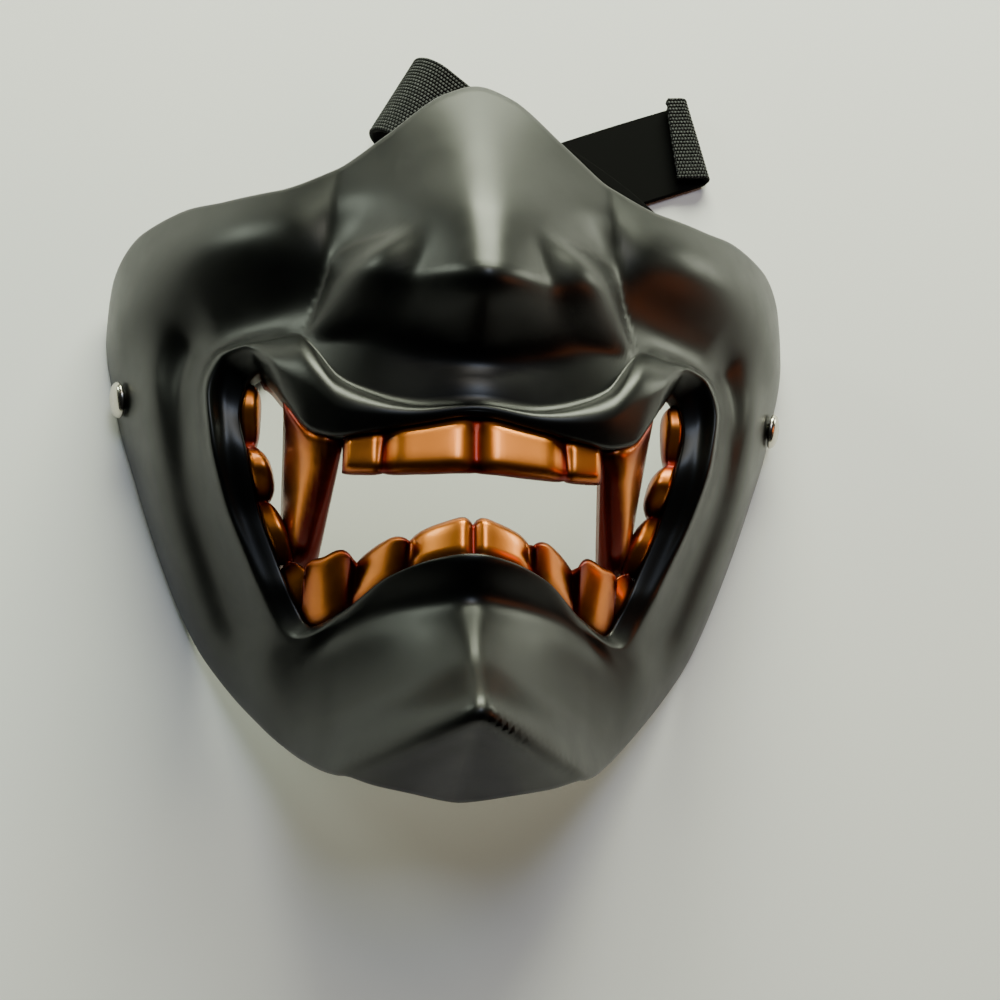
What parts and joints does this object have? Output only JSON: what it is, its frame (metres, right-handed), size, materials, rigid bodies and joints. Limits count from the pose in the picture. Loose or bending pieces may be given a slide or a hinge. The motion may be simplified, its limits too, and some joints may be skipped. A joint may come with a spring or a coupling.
{
  "type": "samurai face guard",
  "caption": "Moulded half mask of a snarling samurai face guard with an open mouth, metallic teeth, side rivets and two elastic straps, laid face up.",
  "frame": {"origin": "centre of the bounding box in X and Y, on the plane that the flanks rest on", "axes": "+Z forward out of the face, +Y toward the forehead, +X toward the side on the viewer's right"},
  "size_m": [0.1778, 0.2002, 0.0866],
  "materials": {
    "black_plastic": "moulded black plastic with a soft sheen",
    "copper_gold_paint": "copper-gold metallic paint on plastic",
    "nickel": "polished nickel-plated rivet",
    "woven_elastic": "black ribbed woven elastic"
  },
  "bodies": {
    "root": {"shell": "black_plastic", "upper_teeth": "copper_gold_paint", "lower_teeth": "copper_gold_paint", "fang_left": "copper_gold_paint", "fang_right": "copper_gold_paint", "cheek_teeth_left": "copper_gold_paint", "cheek_teeth_right": "copper_gold_paint", "rivet_left": "nickel", "rivet_right": "nickel", "strap_left": "woven_elastic", "strap_right": "woven_elastic"}
  },
  "joints": []
}
